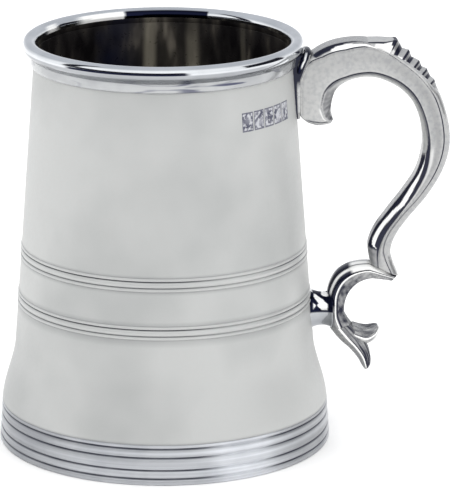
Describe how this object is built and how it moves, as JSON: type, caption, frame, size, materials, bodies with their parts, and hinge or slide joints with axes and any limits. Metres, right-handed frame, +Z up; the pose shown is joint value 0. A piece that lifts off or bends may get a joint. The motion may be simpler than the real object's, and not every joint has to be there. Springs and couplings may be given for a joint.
{
  "type": "pewter tankard",
  "caption": "One-pint pewter tankard: tapered barrel with reeded girdle bands and foot, rounded lip, and a cast double-scroll handle with a stepped leaf thumb rest.",
  "frame": {"origin": "centre of the foot's resting circle, on the barrel's axis", "axes": "+Z up along the barrel's axis, +X from the axis towards the handle, +Y completes the right-handed frame"},
  "size_m": [0.1384, 0.1022, 0.1261],
  "materials": {
    "satin_pewter": "satin, softly polished pewter",
    "polished_pewter": "bright polish",
    "brushed_pewter": "turned, fine lathe lines",
    "inner_pewter": "polished, darker inside",
    "cast_pewter": "cast, satin sides and polished edges",
    "solder": "dull solder"
  },
  "bodies": {
    "root": {"barrel_wall": "satin_pewter", "lip_moulding": "polished_pewter", "neck_band": "polished_pewter", "upper_girdle_band": "polished_pewter", "lower_girdle_band": "polished_pewter", "foot_ring": "brushed_pewter", "floor_disc": "inner_pewter", "floor_solder_fillet": "solder", "handle_arm": "cast_pewter", "thumb_leaf": "cast_pewter", "rim_knuckle": "polished_pewter", "handle_saddle": "solder", "lower_scroll": "cast_pewter", "fishtail_terminal": "cast_pewter", "handle_strut": "polished_pewter"}
  },
  "joints": []
}
